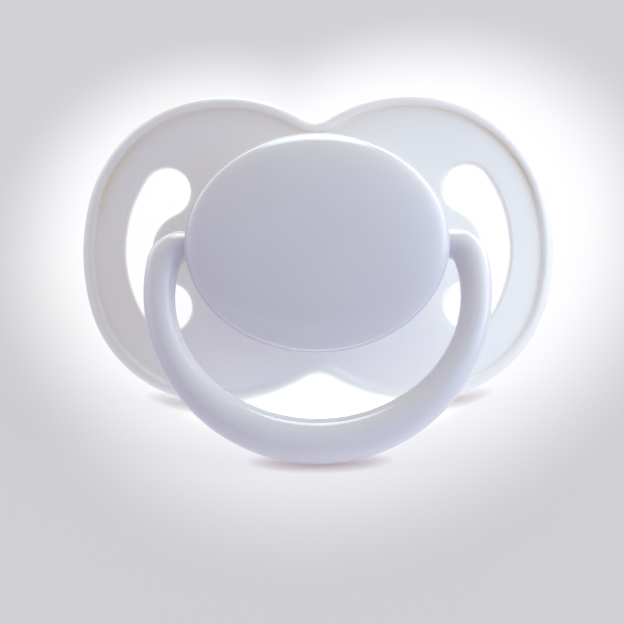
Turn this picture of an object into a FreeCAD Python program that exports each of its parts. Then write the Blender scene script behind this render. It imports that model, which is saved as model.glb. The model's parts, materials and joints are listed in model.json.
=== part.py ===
"""A pacifier at rest on a table, in millimetres.

It leans back on the two lower lobes of its shield and on the tip of its teat, and the
bottom of its ring handle is on the table in front.  +Z is up, X is the width, the cap
faces -Y and the teat points to +Y.  The origin is on the table, under the middle of the
whole object's box.

Every piece is drawn in the pacifier's own axes: the teat's axis is Y, Y = 0 is the front
of the shield at its middle, and the front is -Y.  A piece's Placement leans it back.
"""
import FreeCAD, Part
import Sketcher
import math
import os

Vector = FreeCAD.Vector
X_AXIS = Vector(1, 0, 0)
Y_AXIS = Vector(0, 1, 0)
Z_AXIS = Vector(0, 0, 1)

PIECES = ("shield", "teat", "teat_plug", "knob_base", "knob_cap", "ring_handle")

SIZES = [
    # the stance
    ("lean", 25.0, "angle of the shield's plane from upright, degrees"),
    ("ring_open", 10.28, "angle of the ring's plane from the shield's, degrees"),
    ("hub_height", 14.74, "height of the shield's middle above the table"),
    ("hub_setback", -3.871, "the shield's middle, from the middle of the object's box"),
    # the shield
    ("side_radius", 19.9, "outline: the side of a lobe"),
    ("side_angle", 14.4, "outline: half of the side arc, degrees"),
    ("shoulder_radius", 12.8, "outline: the corner of a lobe"),
    ("shoulder_angle", 56.9, "outline: turn of the corner arc, degrees"),
    ("lobe_radius", 15.0, "outline: the top of a lobe"),
    ("lobe_angle", 50.2, "outline: turn of the top arc, degrees"),
    ("notch_radius", 2.45, "outline: the notch between two lobes"),
    ("bow_radius", 48.0, "the shield's front is part of a cylinder"),
    ("panel_thick", 1.8, "the shield between its rim and its hub"),
    ("rim_width", 1.1, "the bead round the shield"),
    ("rim_proud", 0.5, "the bead above the panel, on each face"),
    ("boss_proud", 0.6, "the oval seat of the knob above the panel"),
    ("hub_radius", 8.6, "the round hub behind the shield"),
    ("hub_back", 2.6, "back of the hub"),
    ("hub_round", 0.6, "rounding of the hub's back edge"),
    # the two ventilation holes
    ("vent_centre", 6.4, "centre of the outer arc, from the middle"),
    ("vent_rise", 0.2, "centre of the outer arc, above the middle"),
    ("vent_radius", 12.2, "the outer arc"),
    ("vent_end_radius", 2.37, "the round ends"),
    ("vent_end_angle", 34.5, "direction of the round ends, degrees"),
    ("vent_lug_radius", 3.6, "the lug that narrows the hole at its middle"),
    # the teat and its plug
    ("neck_radius", 5.5, "the teat's neck where it leaves the shield"),
    ("waist_radius", 4.5, "the teat's neck at its narrowest"),
    ("waist_depth", 11.0, "the narrowest place, behind the shield's front"),
    ("bulb_depth", 22.12, "middle of the teat's bulb"),
    ("bulb_half_length", 6.2, "the bulb along the teat's axis"),
    ("bulb_half_width", 7.3, "the bulb across"),
    ("bulb_half_height", 5.2, "the bulb's flattened height"),
    ("teat_wall", 1.5, "the silicone's thickness"),
    ("seat_depth", 0.7, "the seat of the teat's collar, behind the shield's front"),
    ("collar_radius", 8.0, "the teat's collar, clamped in the shield"),
    ("collar_thick", 1.2, "the collar's thickness"),
    ("plug_radius", 7.6, "the plug's flange"),
    ("plug_thick", 1.2, "the plug's flange"),
    ("plug_reach", 5.5, "the plug's stem, behind the shield's front"),
    ("plug_bore", 2.4, "radius of the hole through the plug"),
    # the knob
    ("flange_half_width", 12.34, "the oval flange of the knob's base"),
    ("flange_half_height", 10.23, "the oval flange of the knob's base"),
    ("lip", 0.14, "the flange stands out from under the cap"),
    ("cap_front", 8.9, "front edge of the cap's side wall"),
    ("dome_rise", 1.9, "the cap's dome above that edge"),
    ("dome_spread", 1.25, "size of the dome's ellipsoid over the cap's"),
    ("dome_depth", 4.75, "half length of the dome's ellipsoid"),
    ("cap_edge_round", 0.5, "rounding between the cap's side and its dome"),
    ("cap_wall", 1.4, "thickness of the cap"),
    ("base_step", 0.85, "the base's wall is this far inside its flange"),
    ("base_wall", 1.6, "thickness of the base's wall"),
    ("floor_thick", 1.2, "the base's floor, which presses on the plug"),
    ("flange_back", 7.8, "back of the flange round the base's mouth"),
    ("flange_front", 8.4, "the plane where the base and the cap meet"),
    ("skirt_depth", 0.6, "the cap's skirt inside the base"),
    ("fit_gap", 0.1, "clearance between parts that fit into each other"),
    # the ring handle
    ("pivot_depth", 6.2, "the ring's axis, in front of the shield"),
    ("ring_radius", 16.25, "the ring's outer edge, a circle"),
    ("ring_drop", 4.61, "centre of that circle, below the ring's axis"),
    ("hole_half_width", 13.29, "the ring's inner edge, an ellipse"),
    ("hole_half_height", 11.66, "the ring's inner edge, an ellipse"),
    ("hole_drop", 4.95, "centre of that ellipse, below the ring's axis"),
    ("ring_thick", 2.9, "the ring's thickness"),
    ("ring_round", 1.3, "rounding of the ring's edges"),
    ("arm_inset", 12.65, "inner ends of the ring's arms, from the middle"),
    ("pin_inset", 9.9, "inner ends of the hinge pins, from the middle"),
    ("pin_radius", 1.4, "the ring's hinge pins"),
    ("pin_play", 0.07, "radial clearance of a pin in its hole"),
]


def new_sheet(doc):
    sheet = doc.addObject("Spreadsheet::Sheet", "Sizes")
    for row, (alias, value, note) in enumerate(SIZES, start=1):
        sheet.set("A%d" % row, note)
        sheet.set("B%d" % row, str(value))
        sheet.setAlias("B%d" % row, alias)
    doc.recompute()
    return sheet


def bind(obj, **formulas):
    """Drive each property of obj from the sheet; a name in braces is a cell."""
    names = {alias: "Sizes." + alias for alias, value, note in SIZES}
    for prop, formula in formulas.items():
        obj.setExpression(prop.replace("__", "."), formula.format(**names))


# ---------------------------------------------------------------- outlines

def tangent_arc(start, heading, radius, turn):
    """An arc that leaves start along heading and turns by turn radians, left if turn > 0.

    It gives the arc, its end and the heading there.
    """
    side = math.copysign(math.pi / 2, turn)
    centre = start + radius * Vector(math.cos(heading + side), math.sin(heading + side), 0)
    first = heading - side
    last = first + turn
    end = centre + radius * Vector(math.cos(last), math.sin(last), 0)
    circle = Part.Circle(centre, Z_AXIS, radius)
    low, high = sorted((first, last))
    return Part.ArcOfCircle(circle, low, high), end, heading + turn


def butterfly(size, inset):
    """The shield's outline, inset by a distance: a closed chain of tangent arcs.

    It starts in the middle of the right side.  A quadrant is half a side, a shoulder,
    a lobe and half a notch, and the half width follows from them.
    """
    side, shoulder, lobe = (math.radians(size(name + "_angle")) for name in
                            ("side", "shoulder", "lobe"))
    notch = side + shoulder + lobe - math.pi / 2
    quadrant = [
        ("side_radius", size("side_radius") - inset, side),
        ("shoulder_radius", size("shoulder_radius") - inset, shoulder),
        ("lobe_radius", size("lobe_radius") - inset, lobe),
        ("notch_radius", size("notch_radius") + inset, -notch),
    ]
    heading = math.pi / 2
    half_width = 0
    for name, radius, turn in quadrant:
        half_width -= math.copysign(radius, turn) * (math.sin(heading + turn) - math.sin(heading))
        heading += turn
    place = Vector(half_width, 0, 0)
    heading = math.pi / 2
    arcs = []
    for name, radius, turn in (quadrant + quadrant[::-1]) * 2:
        arc, place, heading = tangent_arc(place, heading, radius, turn)
        arcs.append((arc, name))
    return arcs


def vent(size, hand):
    """A kidney-shaped hole; hand is 1 for the right side and -1 for the left."""
    end_radius = size("vent_end_radius")
    lug_radius = size("vent_lug_radius")
    end_angle = math.radians(size("vent_end_angle"))
    reach = size("vent_radius") - end_radius
    outer = Vector(size("vent_centre"), size("vent_rise"), 0)
    top = outer + reach * Vector(math.cos(end_angle), math.sin(end_angle), 0)
    bottom = outer + reach * Vector(math.cos(end_angle), -math.sin(end_angle), 0)
    half_gap = reach * math.sin(end_angle)
    lug = Vector(top.x - math.sqrt((end_radius + lug_radius) ** 2 - half_gap ** 2), outer.y, 0)
    lug_angle = math.atan2(top.y - lug.y, top.x - lug.x)
    spans = [
        (outer, size("vent_radius"), -end_angle, end_angle, "vent_radius"),
        (top, end_radius, end_angle, lug_angle + math.pi, "vent_end_radius"),
        (lug, lug_radius, -lug_angle, lug_angle, "vent_lug_radius"),
        (bottom, end_radius, math.pi - lug_angle, 2 * math.pi - end_angle, "vent_end_radius"),
    ]
    arcs = []
    for centre, radius, low, high, name in spans:
        if hand < 0:
            centre = Vector(-centre.x, centre.y, 0)
            low, high = math.pi - high, math.pi - low
        circle = Part.Circle(centre, Z_AXIS, radius)
        arcs.append((Part.ArcOfCircle(circle, low, high), name))
    return arcs


def front_sketch(doc, name, chains, inset="0"):
    """Closed chains of arcs in the plane of the shield, drawn that much inside the outline."""
    sketch = doc.addObject("Sketcher::SketchObject", name)
    sketch.Placement = FreeCAD.Placement(Vector(0, 0, 0), FreeCAD.Rotation(X_AXIS, 90))
    for chain in chains:
        first = sketch.GeometryCount
        for arc, radius_name in chain:
            sketch.addGeometry(arc, False)
        for step, (arc, radius_name) in enumerate(chain):
            index = first + step
            following = first + (step + 1) % len(chain)
            join_tangent(sketch, index, following)
            radius = sketch.addConstraint(Sketcher.Constraint("Radius", index, arc.Radius))
            grow = "+" if radius_name == "notch_radius" else "-"
            bind(sketch, **{"Constraints[%d]" % radius: "{%s} %s %s" % (radius_name, grow, inset)})
    return sketch


def join_tangent(sketch, first, second):
    """Join two arcs smoothly at the ends that already meet."""
    pairs = [(i, j) for i in (1, 2) for j in (1, 2)]
    i, j = min(pairs, key=lambda pair: (sketch.getPoint(first, pair[0])
                                        - sketch.getPoint(second, pair[1])).Length)
    sketch.addConstraint(Sketcher.Constraint("Tangent", first, i, second, j))


def ellipse_sketch(doc, name, half_width, half_height):
    """An ellipse in the plane of the shield; its two sizes are formulas of the sheet."""
    sketch = doc.addObject("Sketcher::SketchObject", name)
    sketch.Placement = FreeCAD.Placement(Vector(0, 0, 0), FreeCAD.Rotation(X_AXIS, 90))
    add_ellipse(sketch, half_width, half_height)
    return sketch


def add_ellipse(sketch, half_width, half_height):
    """Add an ellipse about the sketch's origin, wider than it is tall."""
    wide, tall = 2.0, 1.0
    curve = sketch.addGeometry(Part.Ellipse(Vector(wide, 0, 0), Vector(0, tall, 0), Vector(0, 0, 0)))
    sketch.exposeInternalGeometry(curve)
    major, minor = curve + 1, curve + 2
    sketch.addConstraint(Sketcher.Constraint("Coincident", curve, 3, -1, 1))
    sketch.addConstraint(Sketcher.Constraint("Horizontal", major))
    across = sketch.addConstraint(Sketcher.Constraint("Distance", major, 2 * wide))
    upright = sketch.addConstraint(Sketcher.Constraint("Distance", minor, 2 * tall))
    bind(sketch, **{"Constraints[%d]" % across: "2 * (%s)" % half_width,
                    "Constraints[%d]" % upright: "2 * (%s)" % half_height})


def add_circle(sketch, centre_x, radius):
    """Add a circle with its centre on the sketch's X axis, at a formula of the sheet."""
    curve = sketch.addGeometry(Part.Circle(Vector(-1, 0, 0), Z_AXIS, 1))
    place = sketch.addConstraint(Sketcher.Constraint("DistanceX", -1, 1, curve, 3, -1))
    sketch.addConstraint(Sketcher.Constraint("PointOnObject", curve, 3, -1))
    size = sketch.addConstraint(Sketcher.Constraint("Radius", curve, 1))
    bind(sketch, **{"Constraints[%d]" % place: centre_x, "Constraints[%d]" % size: radius})


def add_polygon(sketch, corners):
    """Add a closed polygon; each corner is a pair of formulas of the sheet."""
    count = len(corners)
    turn = 2 * math.pi / count
    ring = [Vector(10 + math.cos(turn * i), math.sin(turn * i), 0) for i in range(count)]
    first = sketch.GeometryCount
    for i in range(count):
        sketch.addGeometry(Part.LineSegment(ring[i], ring[(i + 1) % count]))
    for i, (across, along) in enumerate(corners):
        line = first + i
        sketch.addConstraint(Sketcher.Constraint("Coincident", line, 2, first + (i + 1) % count, 1))
        for kind, formula, start in (("DistanceX", across, ring[i].x), ("DistanceY", along, ring[i].y)):
            index = sketch.addConstraint(Sketcher.Constraint(kind, -1, 1, line, 1, start))
            bind(sketch, **{"Constraints[%d]" % index: formula})


# ---------------------------------------------------------------- features

def new_body(doc, name):
    body = doc.addObject("PartDesign::Body", name)
    body.Label = name
    return body


def body_sketch(body, name, plane, offset="0"):
    """A sketch on one of the body's own origin planes, moved along the plane's normal."""
    sketch = body.newObject("Sketcher::SketchObject", name)
    planes = [item for item in body.Origin.OriginFeatures if item.Role == plane]
    sketch.AttachmentSupport = [(planes[0], "")]
    sketch.MapMode = "FlatFace"
    bind(sketch, AttachmentOffset__Base__z=offset)
    return sketch


def add_feature(body, kind, name, sketch, side="One side", **formulas):
    """Add a feature made from a sketch; it has to grow or cut the body's volume."""
    body.Document.recompute()
    before = 0.0 if body.Shape.isNull() else body.Shape.Volume
    feature = body.newObject("PartDesign::" + kind, name)
    feature.Profile = sketch
    if kind in ("Revolution", "Groove"):
        feature.ReferenceAxis = (sketch, ["V_Axis"])
    else:
        feature.SideType = side
    bind(feature, **formulas)
    body.Document.recompute()
    change = body.Shape.Volume - before
    if change == 0 or (change > 0) != (kind in ("Pad", "Revolution")):
        raise RuntimeError("%s: %s changed the volume by %g" % (body.Label, name, change))
    return feature


def extrude(doc, name, sketch, back, front):
    """A solid from a sketch, between two depths along Y, given as formulas."""
    solid = doc.addObject("Part::Extrusion", name)
    solid.Base = sketch
    solid.DirMode = "Custom"
    solid.Dir = -Y_AXIS
    solid.Solid = True
    bind(solid, LengthFwd=front, LengthRev=back)
    return solid


def lean_back(piece):
    """Place a piece that is drawn in the pacifier's own axes."""
    piece.Placement = FreeCAD.Placement(Vector(0, 0, 0), FreeCAD.Rotation(-X_AXIS, 1))
    bind(piece, Placement__Base__y="{hub_setback}", Placement__Base__z="{hub_height}",
         Placement__Rotation__Angle="{lean}")


# ---------------------------------------------------------------- shield

def combine(doc, kind, name, base, tool):
    """A boolean of two solids: Common or Cut."""
    result = doc.addObject("Part::" + kind, name)
    result.Base, result.Tool = base, tool
    return result


def fuse(doc, name, solids):
    result = doc.addObject("Part::MultiFuse", name)
    result.Shapes = solids
    result.Refine = True
    return result


def round_edges(doc, name, solid, radius, wanted):
    """Round the edges of a solid for which wanted(edge) is true."""
    doc.recompute()
    rounded = doc.addObject("Part::Fillet", name)
    rounded.Base = solid
    rounded.Edges = [(index, radius, radius) for index, edge in enumerate(solid.Shape.Edges, start=1)
                     if wanted(edge)]
    return rounded


def rod(doc, name, radius, back, front):
    """A round solid on the teat's axis, between two depths, given as formulas."""
    solid = doc.addObject("Part::Cylinder", name)
    solid.Placement = FreeCAD.Placement(Vector(0, 0, 0), FreeCAD.Rotation(X_AXIS, 90))
    bind(solid, Radius=radius, Height="(%s) + (%s)" % (back, front), Placement__Base__y=back)
    return solid


def bow_shell(doc, name, front, back):
    """A thick cylinder wall about an upright axis behind the shield."""
    walls = []
    for label, radius in (("front", front), ("back", back)):
        wall = doc.addObject("Part::Cylinder", name + "_" + label)
        bind(wall, Radius=radius, Height="{bow_radius}", Placement__Base__y="{bow_radius}",
             Placement__Base__z="-{bow_radius} / 2")
        walls.append(wall)
    return combine(doc, "Cut", name, *walls)


def make_shield(doc, size):
    """A bowed butterfly plate with a bead round it, two holes and a hub for the teat."""
    behind, before = "{bow_radius} / 4", "2 * {rim_proud}"
    outline = front_sketch(doc, "rim_outline", [butterfly(size, 0.0)])
    inside = front_sketch(doc, "rim_inside", [butterfly(size, size("rim_width"))], "{rim_width}")
    middle = front_sketch(doc, "rim_middle", [butterfly(size, size("rim_width") / 2)], "{rim_width} / 2")
    border = combine(doc, "Cut", "border", extrude(doc, "border_outer", outline, behind, before),
                     extrude(doc, "border_inner", inside, behind, before))
    rim = combine(doc, "Common", "rim", border,
                  bow_shell(doc, "rim_shell", "{bow_radius} + {rim_proud}",
                            "{bow_radius} - {panel_thick} - {rim_proud}"))

    plate = combine(doc, "Common", "plate", extrude(doc, "plate_outline", middle, behind, before),
                    bow_shell(doc, "plate_shell", "{bow_radius}", "{bow_radius} - {panel_thick}"))
    holes = front_sketch(doc, "hole_outlines", [vent(size, 1), vent(size, -1)])
    plate = combine(doc, "Cut", "pierced_plate", plate, extrude(doc, "holes", holes, behind, before))

    seat_outline = ellipse_sketch(doc, "seat_outline", "{flange_half_width} - {base_step}",
                                  "{flange_half_height} - {base_step}")
    seat = extrude(doc, "seat", seat_outline, "{panel_thick}", "{boss_proud}")
    hub = rod(doc, "hub_rod", "{hub_radius}", "{hub_back}", "0")
    hub = round_edges(doc, "hub", hub, size("hub_round"), lambda edge: edge.BoundBox.YMin > 1e-3)
    neck_hole = rod(doc, "neck_hole", "{neck_radius} + {fit_gap}", "{hub_back} + 1", "{boss_proud} + 1")
    collar_seat = rod(doc, "collar_seat", "{collar_radius} + {fit_gap}", "{seat_depth}", "{boss_proud} + 1")
    shield = combine(doc, "Cut", "shield", fuse(doc, "shield_solid", [plate, rim, seat, hub]),
                     fuse(doc, "hub_holes", [neck_hole, collar_seat]))
    lean_back(shield)


def is_curved(edge):
    return edge.Curve.TypeId != "Part::GeomLine"


# ---------------------------------------------------------------- teat and plug

def make_teat(doc):
    """The hollow silicone teat: a collar, a neck and a flattened bulb."""
    body = new_body(doc, "teat")
    neck_end = "{bulb_depth} - {bulb_half_length} / 2"
    neck = body_sketch(body, "neck_profile", "XY_Plane")
    add_polygon(neck, [("0", "{seat_depth} - {collar_thick}"),
                       ("{collar_radius}", "{seat_depth} - {collar_thick}"),
                       ("{collar_radius}", "{seat_depth}"), ("{neck_radius}", "{seat_depth}"),
                       ("{neck_radius}", "{hub_back}"), ("{waist_radius}", "{waist_depth}"),
                       ("{waist_radius}", neck_end), ("0", neck_end)])
    add_feature(body, "Revolution", "neck", neck)
    add_bulb(body, "Additive", "bulb", "0")
    add_bulb(body, "Subtractive", "bulb_hollow", "{teat_wall}")
    bore = body_sketch(body, "bore_profile", "XY_Plane")
    inner = "{neck_radius} - {teat_wall}"
    narrow = "{waist_radius} - {teat_wall}"
    add_polygon(bore, [("0", "-{collar_thick}"), (inner, "-{collar_thick}"),
                       (inner, "{plug_reach} + {fit_gap}"), (narrow, "{waist_depth}"),
                       (narrow, neck_end), ("0", neck_end)])
    add_feature(body, "Groove", "bore", bore)
    lean_back(body)


def add_bulb(body, kind, name, inset):
    bulb = body.newObject("PartDesign::%sEllipsoid" % kind, name)
    bind(bulb, Radius1="{bulb_half_height} - %s" % inset, Radius2="{bulb_half_width} - %s" % inset,
         Radius3="{bulb_half_length} - %s" % inset, Placement__Base__y="{bulb_depth}")


def make_plug(doc):
    """A flanged tube: its stem holds the teat's neck open, its flange clamps the collar."""
    body = new_body(doc, "teat_plug")
    profile = body_sketch(body, "plug_profile", "XY_Plane")
    under = "{seat_depth} - {collar_thick}"
    stem = "{neck_radius} - {teat_wall} - {fit_gap}"
    add_polygon(profile, [("{plug_bore}", under + " - {plug_thick}"),
                          ("{plug_radius}", under + " - {plug_thick}"),
                          ("{plug_radius}", under), (stem, under),
                          (stem, "{plug_reach}"), ("{plug_bore}", "{plug_reach}")])
    add_feature(body, "Revolution", "plug", profile)
    lean_back(body)


# ---------------------------------------------------------------- knob

def make_knob_base(doc):
    """An oval cup on the shield: its floor holds the plug, its walls hold the ring's pins."""
    body = new_body(doc, "knob_base")
    wall_width = "{flange_half_width} - {base_step}"
    wall_height = "{flange_half_height} - {base_step}"
    pocket_front = "{collar_thick} - {seat_depth} + {plug_thick}"
    wall = body_sketch(body, "wall_outline", "XZ_Plane", "{boss_proud}")
    add_ellipse(wall, wall_width, wall_height)
    add_feature(body, "Pad", "wall", wall, Length="{flange_front} - {boss_proud}")
    flange = body_sketch(body, "flange_outline", "XZ_Plane", "{flange_back}")
    add_ellipse(flange, "{flange_half_width}", "{flange_half_height}")
    add_feature(body, "Pad", "flange", flange, Length="{flange_front} - {flange_back}")
    mouth = body_sketch(body, "mouth_outline", "XZ_Plane", "{flange_front}")
    add_ellipse(mouth, wall_width + " - {base_wall}", wall_height + " - {base_wall}")
    add_feature(body, "Pocket", "mouth", mouth,
                Length="{flange_front} - {floor_thick} - (%s)" % pocket_front)
    pocket = body_sketch(body, "plug_pocket_outline", "XZ_Plane", pocket_front)
    add_circle(pocket, "0", "{plug_radius} + {fit_gap}")
    add_feature(body, "Pocket", "plug_pocket", pocket, Length="{plug_thick} + {seat_depth}")
    air_hole = body_sketch(body, "air_hole_outline", "XZ_Plane", "{flange_front}")
    add_circle(air_hole, "0", "{plug_bore}")
    add_feature(body, "Pocket", "air_hole", air_hole, Length="{flange_front}")
    pins = body_sketch(body, "pin_hole_outline", "YZ_Plane")
    add_circle(pins, "-{pivot_depth}", "{pin_radius} + {pin_play}")
    add_feature(body, "Pocket", "pin_holes", pins, side="Symmetric", Length="3 * {flange_half_width}")
    lean_back(body)


def make_cap(doc, size):
    """The domed oval cover of the knob, with a skirt that fits inside the base."""
    spread = size("dome_spread")
    outline = ellipse_sketch(doc, "cap_outline", "{flange_half_width} - {lip}",
                             "{flange_half_height} - {lip}")
    side = extrude(doc, "cap_side", outline, "-{flange_front}", "{cap_front} + 2 * {dome_rise}")
    dome = doc.addObject("Part::Ellipsoid", "cap_dome")
    dome.Angle1 = -90
    bind(dome, Radius1="{dome_spread} * ({flange_half_height} - {lip})",
         Radius2="{dome_spread} * ({flange_half_width} - {lip})", Radius3="{dome_depth}",
         Placement__Base__y="{dome_depth} - {cap_front} - {dome_rise}")
    blank = combine(doc, "Common", "cap_blank", side, dome)
    skirt_width = "{flange_half_width} - {base_step} - {base_wall} - {fit_gap}"
    skirt_height = "{flange_half_height} - {base_step} - {base_wall} - {fit_gap}"
    skirt = extrude(doc, "cap_skirt", ellipse_sketch(doc, "skirt_outline", skirt_width, skirt_height),
                    "{skirt_depth} - {flange_front}", "{cap_front}")
    hollow = extrude(doc, "cap_hollow", ellipse_sketch(doc, "hollow_outline", skirt_width + " - {cap_wall}",
                                                       skirt_height + " - {cap_wall}"),
                     "{skirt_depth} - {flange_front} + 1", "{cap_front} + {dome_rise} - {cap_wall}")
    front = -size("flange_front") - 1e-3

    def above_side(edge):
        return edge.BoundBox.YMax < front and is_curved(edge)

    rounded = round_edges(doc, "cap_rounded", blank, size("cap_edge_round"), above_side)
    cap = combine(doc, "Cut", "knob_cap", fuse(doc, "cap_solid", [rounded, skirt]), hollow)
    lean_back(cap)


# ---------------------------------------------------------------- ring

def ring_outline(size):
    """The ring's profile in its own plane, with the hinge axis through the origin."""
    outer, drop = size("ring_radius"), size("ring_drop")
    top, inset = size("pin_radius"), size("arm_inset")
    # the shoulder's arc starts at the arm's inner end and touches the outer circle
    shoulder = (outer ** 2 - inset ** 2 - (top + drop) ** 2) / (2 * (outer - top - drop))
    centre = Vector(inset, top - shoulder, 0)
    to_touch = math.atan2(centre.y + drop, centre.x)
    touch = Vector(outer * math.cos(to_touch), outer * math.sin(to_touch) - drop, 0)
    wide, tall, hole_drop = (size("hole_" + name) for name in ("half_width", "half_height", "drop"))
    corner = math.acos(inset / wide)
    foot = Vector(inset, tall * math.sin(corner) - hole_drop, 0)
    hole = Part.Ellipse(Vector(wide, -hole_drop, 0), Vector(0, tall - hole_drop, 0), Vector(0, -hole_drop, 0))
    circle = Part.Circle(Vector(0, -drop, 0), Z_AXIS, outer)
    pieces = [Part.ArcOfCircle(circle, math.pi - to_touch, 2 * math.pi + to_touch),
              Part.ArcOfEllipse(hole, math.pi - corner, 2 * math.pi + corner)]
    for hand in (1, -1):
        middle = centre + shoulder * Vector(math.cos((math.pi / 2 + to_touch) / 2),
                                            math.sin((math.pi / 2 + to_touch) / 2), 0)
        arc = [Vector(hand * point.x, point.y, 0) for point in (touch, middle, Vector(inset, top, 0))]
        pieces.append(Part.Arc(*arc))
        pieces.append(Part.LineSegment(Vector(hand * inset, top, 0), Vector(hand * inset, foot.y, 0)))
    return pieces


def make_ring(doc, size):
    """The ring handle, drawn about its own hinge axis and hanging straight down."""
    body = new_body(doc, "ring_handle")
    outline = body_sketch(body, "ring_outline", "XZ_Plane")
    for piece in ring_outline(size):
        outline.addGeometry(piece)
    ring = add_feature(body, "Pad", "ring", outline, side="Symmetric", Length="{ring_thick}")
    face_depth = size("ring_thick") / 2
    edges = ["Edge%d" % index for index, edge in enumerate(ring.Shape.Edges, start=1)
             if abs(abs(edge.BoundBox.Center.y) - face_depth) < 1e-3]
    rounding = body.newObject("PartDesign::Fillet", "ring_rounding")
    rounding.Base = (ring, edges)
    bind(rounding, Radius="{ring_round}")
    pin = body_sketch(body, "pin_outline", "YZ_Plane", "{pin_inset}")
    add_circle(pin, "0", "{pin_radius}")
    pad = add_feature(body, "Pad", "right_pin", pin, Length="{arm_inset} - {pin_inset} + {ring_round}")
    mirror = body.newObject("PartDesign::Mirrored", "left_pin")
    mirror.Originals = [pad]
    mirror.MirrorPlane = ([item for item in body.Origin.OriginFeatures if item.Role == "YZ_Plane"][0], [""])
    body.Tip = mirror
    body.Placement = FreeCAD.Placement(Vector(0, 0, 0), FreeCAD.Rotation(-X_AXIS, 1))
    bind(body, Placement__Base__y="{hub_setback} - {pivot_depth} * cos({lean})",
         Placement__Base__z="{hub_height} + {pivot_depth} * sin({lean})",
         Placement__Rotation__Angle="{lean} + {ring_open}")


# ---------------------------------------------------------------- the whole

def export(doc):
    """Check every object, then write one STEP file for each piece."""
    doc.recompute()
    for item in doc.Objects:
        if "Invalid" in item.State or "Error" in item.State:
            raise RuntimeError("%s failed: %s" % (item.Name, item.State))
    os.makedirs("parts", exist_ok=True)
    for name in PIECES:
        piece = doc.getObjectsByLabel(name)[0]
        if piece.Shape.isNull() or not piece.Shape.isValid() or len(piece.Shape.Solids) != 1:
            raise RuntimeError("%s is not one valid solid" % name)
    for name in PIECES:
        doc.getObjectsByLabel(name)[0].Shape.exportStep("parts/%s.step" % name)


def main():
    doc = FreeCAD.newDocument("Pacifier")
    sheet = new_sheet(doc)

    def size(name):
        return float(sheet.get(name))

    make_shield(doc, size)
    make_teat(doc)
    make_plug(doc)
    make_knob_base(doc)
    make_cap(doc, size)
    make_ring(doc, size)
    export(doc)
    for name in PIECES:
        shape = doc.getObjectsByLabel(name)[0].Shape
        box = shape.BoundBox
        print("%-12s volume %8.1f  x %6.2f %6.2f  y %6.2f %6.2f  z %6.2f %6.2f" % (
            name, shape.Volume, box.XMin, box.XMax, box.YMin, box.YMax, box.ZMin, box.ZMax))


main()
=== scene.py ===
"""A pacifier's looks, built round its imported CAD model: every shape here is drawn in the
pacifier's own axes in millimetres, and then leaned back to where the CAD parts are."""
import bmesh
import bpy
import json
import math
from mathutils import Matrix, Vector


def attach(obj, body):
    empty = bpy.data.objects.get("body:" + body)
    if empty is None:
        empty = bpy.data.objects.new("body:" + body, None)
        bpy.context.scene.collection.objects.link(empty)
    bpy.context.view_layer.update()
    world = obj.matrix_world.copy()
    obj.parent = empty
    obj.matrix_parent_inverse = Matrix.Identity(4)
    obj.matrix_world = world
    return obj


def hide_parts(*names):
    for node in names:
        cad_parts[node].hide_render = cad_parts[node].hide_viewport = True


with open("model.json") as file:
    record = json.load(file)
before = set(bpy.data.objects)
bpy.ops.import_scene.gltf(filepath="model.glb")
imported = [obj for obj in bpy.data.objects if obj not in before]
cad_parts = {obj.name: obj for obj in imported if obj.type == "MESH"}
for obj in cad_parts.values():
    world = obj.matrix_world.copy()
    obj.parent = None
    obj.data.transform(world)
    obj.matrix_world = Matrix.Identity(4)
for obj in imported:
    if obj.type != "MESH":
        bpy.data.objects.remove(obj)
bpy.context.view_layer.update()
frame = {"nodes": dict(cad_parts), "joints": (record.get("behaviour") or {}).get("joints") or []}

MM = 0.001
SHARP = math.radians(40)
LEAN = math.radians(25)
RING_LEAN = LEAN + math.radians(10.28)
PIVOT = Vector(frame["joints"][0]["pos_m"])
PIVOT_DEPTH = 6.2

# Own axes: X across, Z up the shield, the teat along +Y, the shield's front at Y = 0.
OWN_AXES = (Matrix.Translation(PIVOT) @ Matrix.Rotation(-LEAN, 4, "X") @ Matrix.Scale(MM, 4)
            @ Matrix.Translation((0, PIVOT_DEPTH, 0)))
RING_AXES = Matrix.Translation(PIVOT) @ Matrix.Rotation(-RING_LEAN, 4, "X") @ Matrix.Scale(MM, 4)

# The shield, in mm and degrees
SIDE, SHOULDER, LOBE, NOTCH = 19.9, 12.8, 15.0, 2.45
SIDE_TURN, SHOULDER_TURN, LOBE_TURN = (math.radians(turn) for turn in (14.4, 56.9, 50.2))
BOW = 48.0
PANEL = 1.8
BEAD_WIDTH, BEAD_PROUD = 1.1, 0.5
VENT_CENTRE = Vector((6.4, 0.2))
VENT, VENT_END, VENT_LUG = 12.2, 2.37, 3.6
VENT_TURN = math.radians(34.5)
VENT_ROUND = 0.35
HUB, HUB_BACK, HUB_ROUND = 8.6, 3.2, 0.5
COLLAR_SEAT, SEAT_DEPTH, NECK_HOLE = 8.1, 0.7, 5.6
NECK_HOLE_BEVEL = 0.2
STRIP, STRIPS = 0.6, 38  # width of the strips that bend, and how many there are on each side
ON_SEAT, ON_HUB = 0.9995, HUB + 0.001  # inside these the plate stays flat

# The knob: the flange's half width and height, and the base's inset under it
FLANGE = Vector((12.34, 10.23))
LIP = 0.14
STEP = 0.85
SEAT = FLANGE - Vector((STEP, STEP))
FLANGE_BACK, SEAM, CAP_TOP = 7.8, 8.4, 10.8
SEAT_PROUD = 0.6
CLEAR = 0.01  # gap that keeps two touching pieces apart
UNDERCUT = 0.4
SEAM_FAN, SEAT_FAN = 2.0, 3.0  # insets where the flat faces turn into a fan
WALL_LOOP = 3.0
KNOB_POINTS = 192
DOME = ((11, 1), (13, 4), (62, 22))  # degrees of tilt, and the power of the way out each grows with
DOME_STEPS = 90

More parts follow.
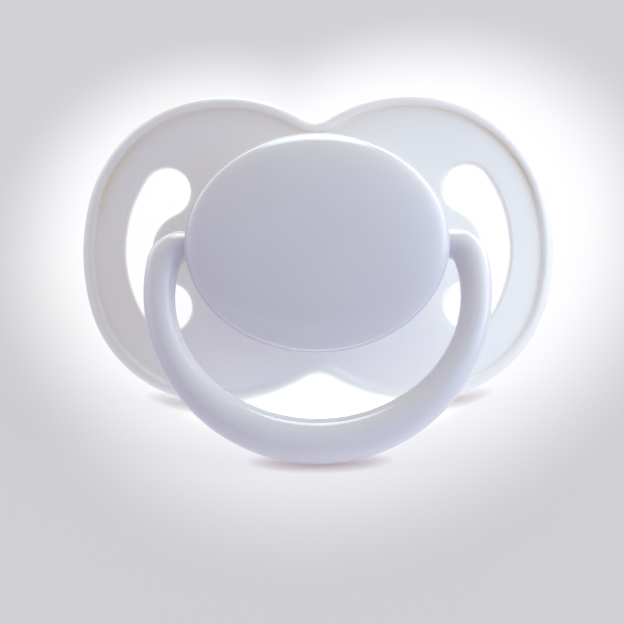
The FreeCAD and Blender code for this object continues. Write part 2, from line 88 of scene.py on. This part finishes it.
# The ring
RING, RING_DROP = 16.25, 4.61
HOLE, HOLE_DROP = Vector((13.29, 11.66)), 4.95
RING_HALF = 1.45
PIN, PIN_END, ARM_INSET = 1.4, 9.9, 12.65
PIN_TIP = PIN_END + 0.02
PIN_HOLE, PIN_HOLE_END = PIN + 0.07, 13.5
CROOK_ROUND, CROOK_OUT = 0.9, 0.25
SHOULDER_STEPS, BAR_STEPS = 12, 60
BOXINESS, BOXY_AFTER = 0.15, 20

# The teat
NECK, NECK_DEPTH = 5.5, 3
WAIST, WAIST_DEPTH = 4.5, 11.0
BULB_DEPTH, BULB = 22.12, Vector((7.3, 6.2, 5.2))
TEAT_WALL = 1.5
COLLAR, COLLAR_THICK, COLLAR_BEVEL = 8.0, 1.2, 0.2
TEAT_POINTS, NECK_STEPS = 96, 44


# ------------------------------------------------------------------ meshes

class Shape:
    """A mesh being built from closed loops of points, in mm."""

    def __init__(self):
        self.bm = bmesh.new()

    def loop(self, points):
        return [self.bm.verts.new(point) for point in points]

    def bridge(self, first, second):
        count = len(first)
        for i in range(count):
            j = (i + 1) % count
            self.bm.faces.new((first[i], first[j], second[j], second[i]))

    def skin(self, loops):
        """Quads between each loop and the next; gives the loops' vertices."""
        rings = [self.loop(points) for points in loops]
        for first, second in zip(rings, rings[1:]):
            self.bridge(first, second)
        return rings

    def close(self, ring, centre):
        """Close a loop with triangles to one point."""
        tip = self.bm.verts.new(centre)
        for i, vertex in enumerate(ring):
            self.bm.faces.new((vertex, ring[(i + 1) % len(ring)], tip))

    def fill(self, rings):
        """Fill the flat region between an outer loop and the holes in it."""
        edges = []
        for ring in rings:
            edges += [self.bm.edges.get((vertex, ring[(i + 1) % len(ring)]))
                      for i, vertex in enumerate(ring)]
        bmesh.ops.triangle_fill(self.bm, edges=edges, use_beauty=True)

    def place(self, name, axes):
        """Make the mesh into an object where it belongs."""
        bmesh.ops.recalc_face_normals(self.bm, faces=self.bm.faces[:])
        mesh = bpy.data.meshes.new(name)
        self.bm.to_mesh(mesh)
        self.bm.free()
        mesh.transform(axes)
        placed = bpy.data.objects.new(name, mesh)
        bpy.context.scene.collection.objects.link(placed)
        return placed

    def finish(self, name, axes, body, material, node):
        """Make the piece: smooth, riding on its body and standing for its CAD node."""
        piece = self.place(name, axes)
        piece.data.materials.append(material)
        piece.data.shade_smooth()
        piece.data.set_sharp_from_angle(angle=SHARP)
        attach(piece, body)
        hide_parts(node)
        return piece


def round_corner(centre, radius, first, last, steps):
    """Points of an arc from one angle to another, in degrees."""
    angles = [math.radians(first + (last - first) * i / steps) for i in range(steps + 1)]
    return [(centre[0] + radius * math.cos(a), centre[1] + radius * math.sin(a)) for a in angles]


# ------------------------------------------------------------------ shield

def butterfly(inset):
    """The shield's outline, that much inside the edge, as (x, z) points of tangent arcs."""
    notch_turn = SIDE_TURN + SHOULDER_TURN + LOBE_TURN - math.pi / 2
    quadrant = [(SIDE, SIDE_TURN, 10), (SHOULDER, SHOULDER_TURN, 34),
                (LOBE, LOBE_TURN, 30), (-NOTCH, -notch_turn, 12)]
    heading, width = math.pi / 2, 0.0
    for radius, turn, steps in quadrant:
        width -= radius * (math.sin(heading + turn) - math.sin(heading))
        heading += turn
    x, z, heading = width - inset, 0.0, math.pi / 2
    points = []
    for radius, turn, steps in (quadrant + quadrant[::-1]) * 2:
        radius -= inset
        for step in range(steps):
            points.append((x, z))
            following = heading + turn / steps
            x += radius * (math.sin(following) - math.sin(heading))
            z -= radius * (math.cos(following) - math.cos(heading))
            heading = following
    return points


def vent(grow, hand):
    """A kidney-shaped hole, grown by a distance, as (x, z) points."""
    reach = VENT - VENT_END
    top = VENT_CENTRE + reach * Vector((math.cos(VENT_TURN), math.sin(VENT_TURN)))
    rise = top.y - VENT_CENTRE.y
    lug_x = top.x - math.sqrt((VENT_END + VENT_LUG) ** 2 - rise ** 2)
    lug_turn = math.atan2(rise, top.x - lug_x)
    bottom = Vector((top.x, VENT_CENTRE.y - rise))
    spans = [(VENT_CENTRE, VENT + grow, -VENT_TURN, VENT_TURN, 44),
             (top, VENT_END + grow, VENT_TURN, math.pi + lug_turn, 26),
             (Vector((lug_x, VENT_CENTRE.y)), VENT_LUG - grow, lug_turn, -lug_turn, 20),
             (bottom, VENT_END + grow, math.pi - lug_turn, 2 * math.pi - VENT_TURN, 26)]
    points = []
    for centre, radius, first, last, steps in spans:
        for step in range(steps):
            angle = first + (last - first) * step / steps
            points.append((hand * (centre.x + radius * math.cos(angle)),
                           centre.y + radius * math.sin(angle)))
    return points


def oval(half_width, half_height, count=160):
    turn = 2 * math.pi / count
    return [(half_width * math.cos(i * turn), half_height * math.sin(i * turn))
            for i in range(count)]


def at_depth(points, depth):
    return [(x, depth, z) for x, z in points]


def bead_section():
    """(inset, depth) across the bead, from the front panel round the edge to the back panel."""
    half = BEAD_WIDTH / 2
    front = [(1.5, 0.0), (1.3, 0.0), (1.18, -0.02), (BEAD_WIDTH, -0.08)]
    front += [(half + half * across, -BEAD_PROUD * along)
              for across, along in round_corner((0, 0), 1, 20, 180, 16)]
    front += [(0.0, 0.2)]
    back = [(inset, PANEL - depth) for inset, depth in reversed(front)]
    return front + back


def vent_section():
    """(growth, depth) across the wall of a hole, from the front panel to the back panel."""
    front = [(VENT_ROUND + 0.1, 0.0)]
    front += [(VENT_ROUND + grow, VENT_ROUND + depth)
              for grow, depth in round_corner((0, 0), VENT_ROUND, -90, -180, 6)]
    return front + [(grow, PANEL - depth) for grow, depth in reversed(front)]


def bend(vertex):
    """Bend the flat plate round its cylinder; the seat in front and the hub behind stay flat."""
    x, depth, z = vertex
    if depth < PANEL / 2:
        flat = math.hypot(x / SEAT.x, z / SEAT.y) < ON_SEAT
    else:
        flat = math.hypot(x, z) < ON_HUB
    if flat:
        return Vector((x, depth, z))
    slope = math.asin(x / BOW)
    return Vector((x, BOW - BOW * math.cos(slope) + depth / math.cos(slope), z))


def make_shield(material):
    """The flat butterfly plate, cut into narrow strips and then bent."""
    shape = Shape()
    edge = shape.skin([at_depth(butterfly(inset), depth) for inset, depth in bead_section()])
    walls = [shape.skin([at_depth(vent(grow, hand), depth) for grow, depth in vent_section()])
             for hand in (1, -1)]
    seat = [at_depth(oval(SEAT.x + grow, SEAT.y + grow), depth)
            for grow, depth in ((0.45, 0), (0.25, -0.03), (0.1, -0.12), (0.01, -0.28),
                                (-0.02, -0.45), (-0.08, -0.56), (-0.2, -SEAT_PROUD))]
    hub = [(COLLAR_SEAT, -SEAT_PROUD), (COLLAR_SEAT, SEAT_DEPTH), (NECK_HOLE, SEAT_DEPTH),
           (NECK_HOLE, HUB_BACK - NECK_HOLE_BEVEL), (NECK_HOLE + NECK_HOLE_BEVEL, HUB_BACK)]
    hub += round_corner((HUB - HUB_ROUND, HUB_BACK - HUB_ROUND), HUB_ROUND, 90, 0, 5)
    hub += [(HUB + grow, PANEL + depth)
            for grow, depth in ((0.02, 0.3), (0.1, 0.12), (0.25, 0.03), (0.45, 0))]
    middle = shape.skin(seat + [at_depth(oval(radius, radius), depth) for radius, depth in hub])
    shape.fill([edge[0], walls[0][0], walls[1][0], middle[0]])
    shape.fill([edge[-1], walls[0][-1], walls[1][-1], middle[-1]])
    for step in range(-STRIPS, STRIPS + 1):
        geometry = shape.bm.verts[:] + shape.bm.edges[:] + shape.bm.faces[:]
        bmesh.ops.bisect_plane(shape.bm, geom=geometry, plane_co=(step * STRIP, 0, 0),
                               plane_no=(1, 0, 0))
    for vertex in shape.bm.verts:
        vertex.co = bend(vertex.co)
    shape.finish("shield_plate", OWN_AXES, "pacifier", material, "shield")


# ------------------------------------------------------------------ knob

def knob_loops(section):
    """Ovals from (inset from the flange's edge, depth in front of the shield) pairs."""
    return [at_depth(oval(FLANGE.x - inset, FLANGE.y - inset, KNOB_POINTS), -depth)
            for inset, depth in section]


def make_cap(material):
    """A shallow dome that curves ever faster toward its edge, and a short side wall."""
    profile = [(0.0, 0.0)]
    for step in range(DOME_STEPS):
        share = (step + 0.5) / DOME_STEPS
        tilt = math.radians(sum(degrees * share ** power for degrees, power in DOME))
        across, fall = profile[-1]
        profile.append((across + math.cos(tilt), fall + math.sin(tilt)))
    half = FLANGE - Vector((LIP, LIP))
    scale = half.x / profile[-1][0]
    shape = Shape()
    loops = [at_depth(oval(scale * across, scale * across * half.y / half.x, KNOB_POINTS),
                      scale * fall - CAP_TOP) for across, fall in profile[2::2]]
    loops += knob_loops([(LIP, SEAM + 0.1), (LIP + 0.02, SEAM + 0.04), (LIP + 0.06, SEAM + CLEAR),
                         (SEAM_FAN, SEAM + CLEAR)])
    rings = shape.skin(loops)
    shape.close(rings[0], (0, -CAP_TOP, 0))
    shape.close(rings[-1], (0, -SEAM - CLEAR, 0))
    shape.finish("knob_cover", OWN_AXES, "pacifier", material, "knob_cap")


def make_base(material):
    """The oval cup under the cap, with a hole at each side for the ring's pins."""
    shape = Shape()
    section = [(SEAM_FAN, SEAM - CLEAR), (LIP + 0.02, SEAM - CLEAR)]
    section += round_corner((LIP, SEAM - CLEAR - LIP), LIP, 90, 180, 6)
    section += [(0.0, FLANGE_BACK + 0.15), (0.05, FLANGE_BACK + 0.05), (0.15, FLANGE_BACK)]
    section += round_corner((STEP - UNDERCUT, FLANGE_BACK - UNDERCUT), UNDERCUT, 90, 0, 5)
    section += [(STEP, WALL_LOOP), (STEP, SEAT_PROUD + CLEAR), (SEAT_FAN, SEAT_PROUD + CLEAR)]
    rings = shape.skin(knob_loops(section))
    shape.close(rings[0], (0, -SEAM + CLEAR, 0))
    shape.close(rings[-1], (0, -SEAT_PROUD - CLEAR, 0))
    base = shape.finish("knob_cup", OWN_AXES, "pacifier", material, "knob_base")
    cutter = Shape()
    for hand in (1, -1):
        ends = [hand * PIN_END, hand * PIN_HOLE_END]
        rings = cutter.skin([[(x, -PIVOT_DEPTH + y, z) for y, z in oval(PIN_HOLE, PIN_HOLE, 64)]
                             for x in ends])
        for ring, x in zip(rings, ends):
            cutter.close(ring, (x, -PIVOT_DEPTH, 0))
    tool = cutter.place("pin_holes", OWN_AXES)
    cut = base.modifiers.new("pin_holes", "BOOLEAN")
    cut.operation = "DIFFERENCE"
    cut.object = tool
    cut.solver = "EXACT"
    apply_modifiers(base)
    bpy.data.objects.remove(tool)
    base.data.set_sharp_from_angle(angle=SHARP)


def apply_modifiers(piece):
    """Keep the piece's modified mesh, and no modifier."""
    evaluated = piece.evaluated_get(bpy.context.evaluated_depsgraph_get())
    mesh = bpy.data.meshes.new_from_object(evaluated)
    piece.modifiers.clear()
    piece.data = mesh


# ------------------------------------------------------------------ ring

def on_oval(centre, half, angle):
    return Vector((centre[0] + half[0] * math.cos(angle), centre[1] + half[1] * math.sin(angle)))


def ring_edges():
    """Pairs of (outer, inner) edge points down the right arm to the middle of the bottom."""
    quarter = math.pi / 2
    top = PIN + RING_DROP
    shoulder = (RING ** 2 - ARM_INSET ** 2 - top ** 2) / (2 * (RING - top))
    centre = Vector((ARM_INSET, PIN - shoulder))
    touch = math.atan2(centre.y + RING_DROP, centre.x)
    crook = Vector((ARM_INSET - CROOK_ROUND + CROOK_OUT, -PIN - CROOK_ROUND))
    corner = math.acos((crook.x + CROOK_ROUND) / HOLE.x)
    pairs = []
    for i in range(SHOULDER_STEPS + 1):
        share = i / SHOULDER_STEPS
        pairs.append((on_oval(centre, (shoulder, shoulder), quarter + (touch - quarter) * share),
                      on_oval(crook, (CROOK_ROUND, CROOK_ROUND), quarter * (1 - share))))
    for i in range(1, BAR_STEPS + 1):
        share = i / BAR_STEPS
        pairs.append((on_oval((0, -RING_DROP), (RING, RING), touch - (touch + quarter) * share),
                      on_oval((0, -HOLE_DROP), HOLE, corner - (corner + quarter) * share)))
    return pairs


def ring_section(outer, inner, squareness):
    """A rounded section between two edge points; squareness 2 is an oval, more is boxier."""
    count = 40
    middle, across = (outer + inner) / 2, (outer - inner) / 2
    thick = PIN if squareness == 2 else RING_HALF
    loop = []
    for i in range(count):
        angle = 2 * math.pi * i / count
        c, s = math.cos(angle), math.sin(angle)
        u = math.copysign(abs(c) ** (2 / squareness), c)
        v = math.copysign(abs(s) ** (2 / squareness), s)
        point = middle + across * u
        loop.append((point.x, thick * v, point.y))
    return loop


def make_ring(material):
    """One side's pin and arm down to the middle of the bottom, and their mirror image."""
    pin = [(PIN_TIP, PIN - 0.3), (PIN_TIP + 0.04, PIN - 0.15), (PIN_TIP + 0.15, PIN - 0.04),
           (PIN_END + 0.3, PIN), (10.6, PIN), (11.2, PIN), (11.6, PIN)]
    half = [ring_section(Vector((x, radius)), Vector((x, -radius)), 2) for x, radius in pin]
    for i, (outer, inner) in enumerate(ring_edges()):
        half.append(ring_section(outer, inner, 2 + BOXINESS * min(1, i / BOXY_AFTER)))
    other = [[(-x, y, z) for x, y, z in loop] for loop in half[-2::-1]]
    shape = Shape()
    rings = shape.skin(half + other)
    shape.close(rings[0], (PIN_TIP, 0, 0))
    shape.close(rings[-1], (-PIN_TIP, 0, 0))
    shape.finish("ring_bail", RING_AXES, "ring", material, "ring_handle")


# ------------------------------------------------------------------ teat

def ease(low, high, share):
    share = min(1, max(0, share))
    return low + (high - low) * share * share * (3 - 2 * share)


def teat_size(depth):
    """Half width and half height of the teat at a depth behind the shield's front."""
    if depth < WAIST_DEPTH:
        radius = ease(NECK, WAIST, (depth - NECK_DEPTH) / (WAIST_DEPTH - NECK_DEPTH))
        return radius, radius
    if depth < BULB_DEPTH:
        share = (depth - WAIST_DEPTH) / (BULB_DEPTH - WAIST_DEPTH)
        return ease(WAIST, BULB.x, share), ease(WAIST, BULB.z, share)
    fall = math.sqrt(max(0, 1 - ((depth - BULB_DEPTH) / BULB.y) ** 2))
    return BULB.x * fall, BULB.z * fall


def teat_loops(wall):
    """Ovals along the teat, that much inside its outside, from the neck to near the tip."""
    depths = [SEAT_DEPTH + i * (BULB_DEPTH - SEAT_DEPTH) / NECK_STEPS
              for i in range(NECK_STEPS + 1)]
    depths += [BULB_DEPTH + BULB.y * math.sin(math.radians(a)) for a in range(4, 90, 4)]
    loops = []
    for depth in depths:
        wide, tall = teat_size(depth)
        if depth < BULB_DEPTH:
            wide, tall, along = wide - wall, tall - wall, depth
        else:
            wide, tall = wide * (1 - wall / BULB.x), tall * (1 - wall / BULB.z)
            along = BULB_DEPTH + (depth - BULB_DEPTH) * (1 - wall / BULB.y)
        loops.append(at_depth(oval(wide, tall, TEAT_POINTS), along))
    return loops


def make_teat(material):
    """A hollow bulb: its inside from the tip to the neck, the collar, and its outside."""
    shape = Shape()
    collar_front = SEAT_DEPTH - COLLAR_THICK
    outside, inside = teat_loops(0), teat_loops(TEAT_WALL)
    collar = [at_depth(oval(radius, radius, TEAT_POINTS), depth) for radius, depth in (
        (NECK - TEAT_WALL, collar_front), (COLLAR - COLLAR_BEVEL, collar_front),
        (COLLAR, collar_front + COLLAR_BEVEL), (COLLAR, SEAT_DEPTH - COLLAR_BEVEL),
        (COLLAR - COLLAR_BEVEL, SEAT_DEPTH))]
    rings = shape.skin(inside[::-1] + collar + outside)
    shape.close(rings[0], (0, BULB_DEPTH + BULB.y - TEAT_WALL, 0))
    shape.close(rings[-1], (0, BULB_DEPTH + BULB.y, 0))
    shape.finish("soft_teat", OWN_AXES, "pacifier", material, "teat")


# ------------------------------------------------------------------ materials

def new_material(name):
    material = bpy.data.materials.new(name)
    material.use_nodes = True
    nodes = material.node_tree.nodes
    return material, nodes, material.node_tree.links, nodes["Principled BSDF"]


def object_noise(nodes, links, scale, detail=2.0):
    """Noise fixed to the object; scale is in features per metre."""
    where = nodes.new("ShaderNodeTexCoord")
    noise = nodes.new("ShaderNodeTexNoise")
    noise.inputs["Scale"].default_value = scale
    noise.inputs["Detail"].default_value = detail
    links.new(where.outputs["Object"], noise.inputs["Vector"])
    return noise.outputs["Fac"]


def ramp(nodes, links, value, start, end, low=0, high=1, smooth=False):
    """Map a value's range from start to end onto low to high."""
    node = nodes.new("ShaderNodeMapRange")
    if smooth:
        node.interpolation_type = "SMOOTHSTEP"
    node.inputs["From Min"].default_value = start
    node.inputs["From Max"].default_value = end
    node.inputs["To Min"].default_value = low
    node.inputs["To Max"].default_value = high
    links.new(value, node.inputs["Value"])
    return node.outputs["Result"]


def rough(nodes, links, shader, noise, low, high):
    """Roughness that wanders between two values; most noise is between 0.3 and 0.7."""
    links.new(ramp(nodes, links, noise, 0.3, 0.7, low, high), shader.inputs["Roughness"])


def add_bump(nodes, links, shader, height, strength, distance):
    bump = nodes.new("ShaderNodeBump")
    bump.inputs["Strength"].default_value = strength
    bump.inputs["Distance"].default_value = distance
    links.new(height, bump.inputs["Height"])
    links.new(bump.outputs["Normal"], shader.inputs["Normal"])


def tinted(nodes, links, value, first, second):
    """Blend from one colour to another as a value goes from 0 to 1."""
    mix = nodes.new("ShaderNodeMix")
    mix.data_type = "RGBA"
    mix.inputs["A"].default_value = (*first, 1)
    mix.inputs["B"].default_value = (*second, 1)
    links.new(value, mix.inputs["Factor"])
    return mix.outputs["Result"]


def gloss_material():
    """Glossy, bluish white plastic: the knob, the ring and the plug."""
    material, nodes, links, shader = new_material("gloss_white")
    colour = tinted(nodes, links, object_noise(nodes, links, 180),
                    (0.77, 0.765, 0.85), (0.80, 0.795, 0.88))
    links.new(colour, shader.inputs["Base Color"])
    rough(nodes, links, shader, object_noise(nodes, links, 900, 4), 0.09, 0.13)
    shader.inputs["IOR"].default_value = 1.6
    shader.inputs["Subsurface Weight"].default_value = 0.1
    shader.inputs["Subsurface Radius"].default_value = (1.0, 1.0, 1.2)
    shader.inputs["Subsurface Scale"].default_value = 0.0005
    add_bump(nodes, links, shader, object_noise(nodes, links, 350), 0.1, 0.00003)
    return material


# Painted shade: an ambient occlusion mask tints the shield's creases warm brown in place of the
# bead's shadow, and the tint fades out below the upper part.
PAINTED_CREASE_SHADE = (0.80, 0.70, 0.54)
PAINTED_SHADE_REACH = 0.0016
PAINTED_SHADE_FADE = (0.014, 0.021)  # heights above the floor, in metres


def shield_material():
    """Milky plastic with painted shade: a warm tint in the creases of the shield's upper part, none
    lower down.
    """
    material, nodes, links, shader = new_material("shield_plastic")
    plain = tinted(nodes, links, object_noise(nodes, links, 150),
                   (0.90, 0.90, 0.92), (0.93, 0.93, 0.945))
    # Painted shade: the creases turn darker and warmer where occlusion is high, and only high up
    # the shield.
    shade_occlusion = nodes.new("ShaderNodeAmbientOcclusion")
    shade_occlusion.inputs["Distance"].default_value = PAINTED_SHADE_REACH
    shade_occlusion.samples = 8
    shade_occlusion.only_local = True
    where = nodes.new("ShaderNodeTexCoord")
    apart = nodes.new("ShaderNodeSeparateXYZ")
    links.new(where.outputs["Object"], apart.inputs[0])
    clear = nodes.new("ShaderNodeMath")
    clear.operation = "MAXIMUM"
    links.new(ramp(nodes, links, shade_occlusion.outputs["AO"], 0.65, 0.98), clear.inputs[0])
    links.new(ramp(nodes, links, apart.outputs["Z"], *PAINTED_SHADE_FADE, 1, 0, smooth=True),
              clear.inputs[1])
    painted_shade = nodes.new("ShaderNodeMix")
    painted_shade.data_type = "RGBA"
    painted_shade.inputs["A"].default_value = (*PAINTED_CREASE_SHADE, 1)
    links.new(plain, painted_shade.inputs["B"])
    links.new(clear.outputs["Value"], painted_shade.inputs["Factor"])
    links.new(painted_shade.outputs["Result"], shader.inputs["Base Color"])
    rough(nodes, links, shader, object_noise(nodes, links, 1500, 4), 0.28, 0.4)
    shader.inputs["IOR"].default_value = 1.49
    shader.inputs["Subsurface Weight"].default_value = 0.35
    shader.inputs["Subsurface Radius"].default_value = (1.0, 0.9, 0.8)
    shader.inputs["Subsurface Scale"].default_value = 0.003
    add_bump(nodes, links, shader, object_noise(nodes, links, 2500, 3), 0.15, 0.00001)
    return material


def silicone_material():
    """Soft, slightly cloudy silicone: the teat."""
    material, nodes, links, shader = new_material("silicone")
    colour = tinted(nodes, links, object_noise(nodes, links, 120),
                    (0.86, 0.84, 0.79), (0.90, 0.88, 0.84))
    links.new(colour, shader.inputs["Base Color"])
    rough(nodes, links, shader, object_noise(nodes, links, 260), 0.3, 0.38)
    shader.inputs["IOR"].default_value = 1.41
    shader.inputs["Transmission Weight"].default_value = 0.35
    shader.inputs["Subsurface Weight"].default_value = 0.5
    shader.inputs["Subsurface Radius"].default_value = (1.0, 0.95, 0.85)
    shader.inputs["Subsurface Scale"].default_value = 0.002
    add_bump(nodes, links, shader, object_noise(nodes, links, 90, 0), 0.03, 0.00001)
    return material


# ------------------------------------------------------------------ stage, light and camera

FLOOR_GLOW = (0.452, 0.443, 0.471)
CONTACT_SHADE = (0.46, 0.37, 0.40)
POOL_GLOW = (0.36, 0.36, 0.36)
FRONT_GLOW = (0.52, 0.65, 0.5)
# Centre and half sizes in metres, and turn in degrees: two that join into one pool behind the
# pacifier, and a small one under its front.
POOLS = [
    ((-0.0078, 0.0339), (0.0269, 0.0705), 4.9),
    ((0.0074, 0.0376), (0.0317, 0.0762), -7.0),
    ((0.0, -0.007), (0.015, 0.010), 0.0),
]
POOL_BLEND = 0.12
POOL_FADE, FRONT_FADE = (1.094, 0.6), (1, 0.4)  # where each pool begins and is full
CONTACT_REACH = 0.0013


def make_floor():
    """A pale floor with a soft glow, brighter in the pools and darker where things touch it."""
    mesh = bpy.data.meshes.new("floor")
    half = 3.0
    corners = [(-half, -half, 0), (half, -half, 0), (half, half, 0), (-half, half, 0)]
    mesh.from_pydata(corners, [], [(0, 1, 2, 3)])
    floor = bpy.data.objects.new("floor", mesh)
    bpy.context.scene.collection.objects.link(floor)
    material, nodes, links, shader = new_material("floor")
    mesh.materials.append(material)
    shader.inputs["Base Color"].default_value = (0.17, 0.17, 0.17, 1)
    shader.inputs["Roughness"].default_value = 0.9
    shader.inputs["Specular IOR Level"].default_value = 0.1
    where = nodes.new("ShaderNodeTexCoord")
    distances = []
    for centre, half_size, turn in POOLS:
        pool = nodes.new("ShaderNodeMapping")
        pool.vector_type = "TEXTURE"
        pool.inputs["Location"].default_value = (*centre, 0)
        pool.inputs["Rotation"].default_value = (0, 0, math.radians(turn))
        pool.inputs["Scale"].default_value = (*half_size, 1)
        links.new(where.outputs["Object"], pool.inputs["Vector"])
        away = nodes.new("ShaderNodeVectorMath")
        away.operation = "LENGTH"
        links.new(pool.outputs["Vector"], away.inputs[0])
        distances.append(away.outputs["Value"])
    nearer = nodes.new("ShaderNodeMath")
    nearer.operation = "SMOOTH_MIN"
    nearer.inputs[2].default_value = POOL_BLEND
    links.new(distances[0], nearer.inputs[0])
    links.new(distances[1], nearer.inputs[1])
    glow = None
    for distance, fade, colour in ((nearer.outputs["Value"], POOL_FADE, POOL_GLOW),
                                   (distances[2], FRONT_FADE, FRONT_GLOW)):
        pool = nodes.new("ShaderNodeVectorMath")
        pool.operation = "MULTIPLY_ADD"
        pool.inputs[1].default_value = colour
        pool.inputs[2].default_value = FLOOR_GLOW
        links.new(ramp(nodes, links, distance, *fade, smooth=True), pool.inputs[0])
        if glow:
            links.new(glow, pool.inputs[2])
        glow = pool.outputs["Vector"]
    contact = nodes.new("ShaderNodeAmbientOcclusion")
    contact.inputs["Distance"].default_value = CONTACT_REACH
    contact.samples = 8
    shade = tinted(nodes, links, contact.outputs["AO"], CONTACT_SHADE, (1, 1, 1))
    dim = nodes.new("ShaderNodeVectorMath")
    dim.operation = "MULTIPLY"
    links.new(glow, dim.inputs[0])
    links.new(shade, dim.inputs[1])
    links.new(dim.outputs["Vector"], shader.inputs["Emission Color"])
    shader.inputs["Emission Strength"].default_value = 1


def direction(azimuth, elevation):
    """The way toward an azimuth, counted from the front to the right, and an elevation."""
    return Vector((math.sin(azimuth) * math.cos(elevation),
                   -math.cos(azimuth) * math.cos(elevation), math.sin(elevation)))


# Soft lights all round: azimuth and elevation in degrees, sharpness, and radiance.
SOFT_LIGHTS = [
    (0, 90, 4, (0.5, 0.61, 0.12)),
    (90, 45, 8, (0.7, 0.6, 0.38)),
    (45, 25, 8, (0.4, 0.78, 1.12)),
    (180, 65, 24, (1.76, 1.93, 1.91)),
    (180, 40, 10, (0.75, 0.83, 0.79)),
    (90, 10, 6, (1.95, 2.25, 2.4)),
    (90, 5, 24, (0.9, 1.1, 1.2)),
    (135, 20, 10, (0.13, 0.0, 0.0)),
    (225, 20, 10, (0.74, 0.68, 0.85)),
    (270, 10, 8, (0.95, 1.2, 1.35)),
]
ROOM = (0.211, 0.11, 0.205)


def make_world():
    """A studio of wide soft lights over an even, dim room."""
    world = bpy.data.worlds.new("studio")
    bpy.context.scene.world = world
    world.use_nodes = True
    nodes, links = world.node_tree.nodes, world.node_tree.links
    where = nodes.new("ShaderNodeTexCoord")
    total = None
    for azimuth, elevation, sharpness, radiance in SOFT_LIGHTS:
        toward = nodes.new("ShaderNodeVectorMath")
        toward.operation = "DOT_PRODUCT"
        toward.inputs[1].default_value = direction(math.radians(azimuth), math.radians(elevation))
        links.new(where.outputs["Generated"], toward.inputs[0])
        front = nodes.new("ShaderNodeMath")
        front.operation = "MAXIMUM"
        front.inputs[1].default_value = 0
        links.new(toward.outputs["Value"], front.inputs[0])
        soft = nodes.new("ShaderNodeMath")
        soft.operation = "POWER"
        soft.inputs[1].default_value = sharpness
        links.new(front.outputs["Value"], soft.inputs[0])
        light = nodes.new("ShaderNodeVectorMath")
        light.operation = "SCALE"
        light.inputs[0].default_value = radiance
        links.new(soft.outputs["Value"], light.inputs["Scale"])
        add = nodes.new("ShaderNodeVectorMath")
        add.operation = "ADD"
        add.inputs[0].default_value = ROOM
        if total:
            links.new(total, add.inputs[0])
        links.new(light.outputs["Vector"], add.inputs[1])
        total = add.outputs["Vector"]
    links.new(total, nodes["Background"].inputs["Color"])
    bpy.context.scene.view_settings.view_transform = "Standard"


# Softboxes that only show as highlights: azimuth, elevation and width in degrees, and strength.
SOFTBOXES = [
    (180, 65, 40, (1.1, 1.39, 1.77)),
    (180, 40, 50, (0.56, 0.64, 0.6)),
    (180, 12, 40, (0.66, 0.79, 0.74)),
    (135, 20, 50, (1.43, 1.48, 1.01)),
    (225, 20, 50, (0.57, 0.72, 0.65)),
]


def make_softboxes():
    """Wide sun lamps that leave the diffuse light to the world."""
    for azimuth, elevation, width, strength in SOFTBOXES:
        data = bpy.data.lights.new("softbox", "SUN")
        data.angle = math.radians(width)
        data.energy = max(strength)
        data.color = [channel / max(strength) for channel in strength]
        lamp = bpy.data.objects.new("softbox", data)
        bpy.context.scene.collection.objects.link(lamp)
        toward = direction(math.radians(azimuth), math.radians(elevation))
        lamp.matrix_world = toward.to_track_quat("Z", "Y").to_matrix().to_4x4()
        lamp.visible_diffuse = False


CAMERA_DISTANCE = 0.300
CAMERA_LENS, SENSOR_WIDTH = 181.2, 36  # mm


def make_camera():
    """The camera looks 21.5 degrees down at the shield's middle, from 300 mm away."""
    below_axis, sideways, roll = (math.radians(angle) for angle in (3.5, 0.33, 0.86))
    aside, down = (math.radians(angle) for angle in (0.1022, 1.1637))
    hub = OWN_AXES @ Vector((0, 0, 0))
    back = direction(sideways, LEAN - below_axis)
    data = bpy.data.cameras.new("camera")
    data.sensor_width = SENSOR_WIDTH
    data.lens = CAMERA_LENS
    data.clip_start = 0.01
    data.clip_end = 20
    camera = bpy.data.objects.new("camera", data)
    bpy.context.scene.collection.objects.link(camera)
    look = (-back).to_track_quat("-Z", "Y").to_matrix().to_4x4()
    aim = (Matrix.Rotation(-roll, 4, "Z") @ Matrix.Rotation(aside, 4, "Y")
           @ Matrix.Rotation(-down, 4, "X"))
    camera.matrix_world = Matrix.Translation(hub + back * CAMERA_DISTANCE) @ look @ aim
    bpy.context.scene.camera = camera


gloss = gloss_material()
make_shield(shield_material())
make_cap(gloss)
make_base(gloss)
make_ring(gloss)
make_teat(silicone_material())
plug = frame["nodes"]["teat_plug"]
plug.data.materials.clear()
plug.data.materials.append(gloss)
make_floor()
make_world()
make_softboxes()
make_camera()
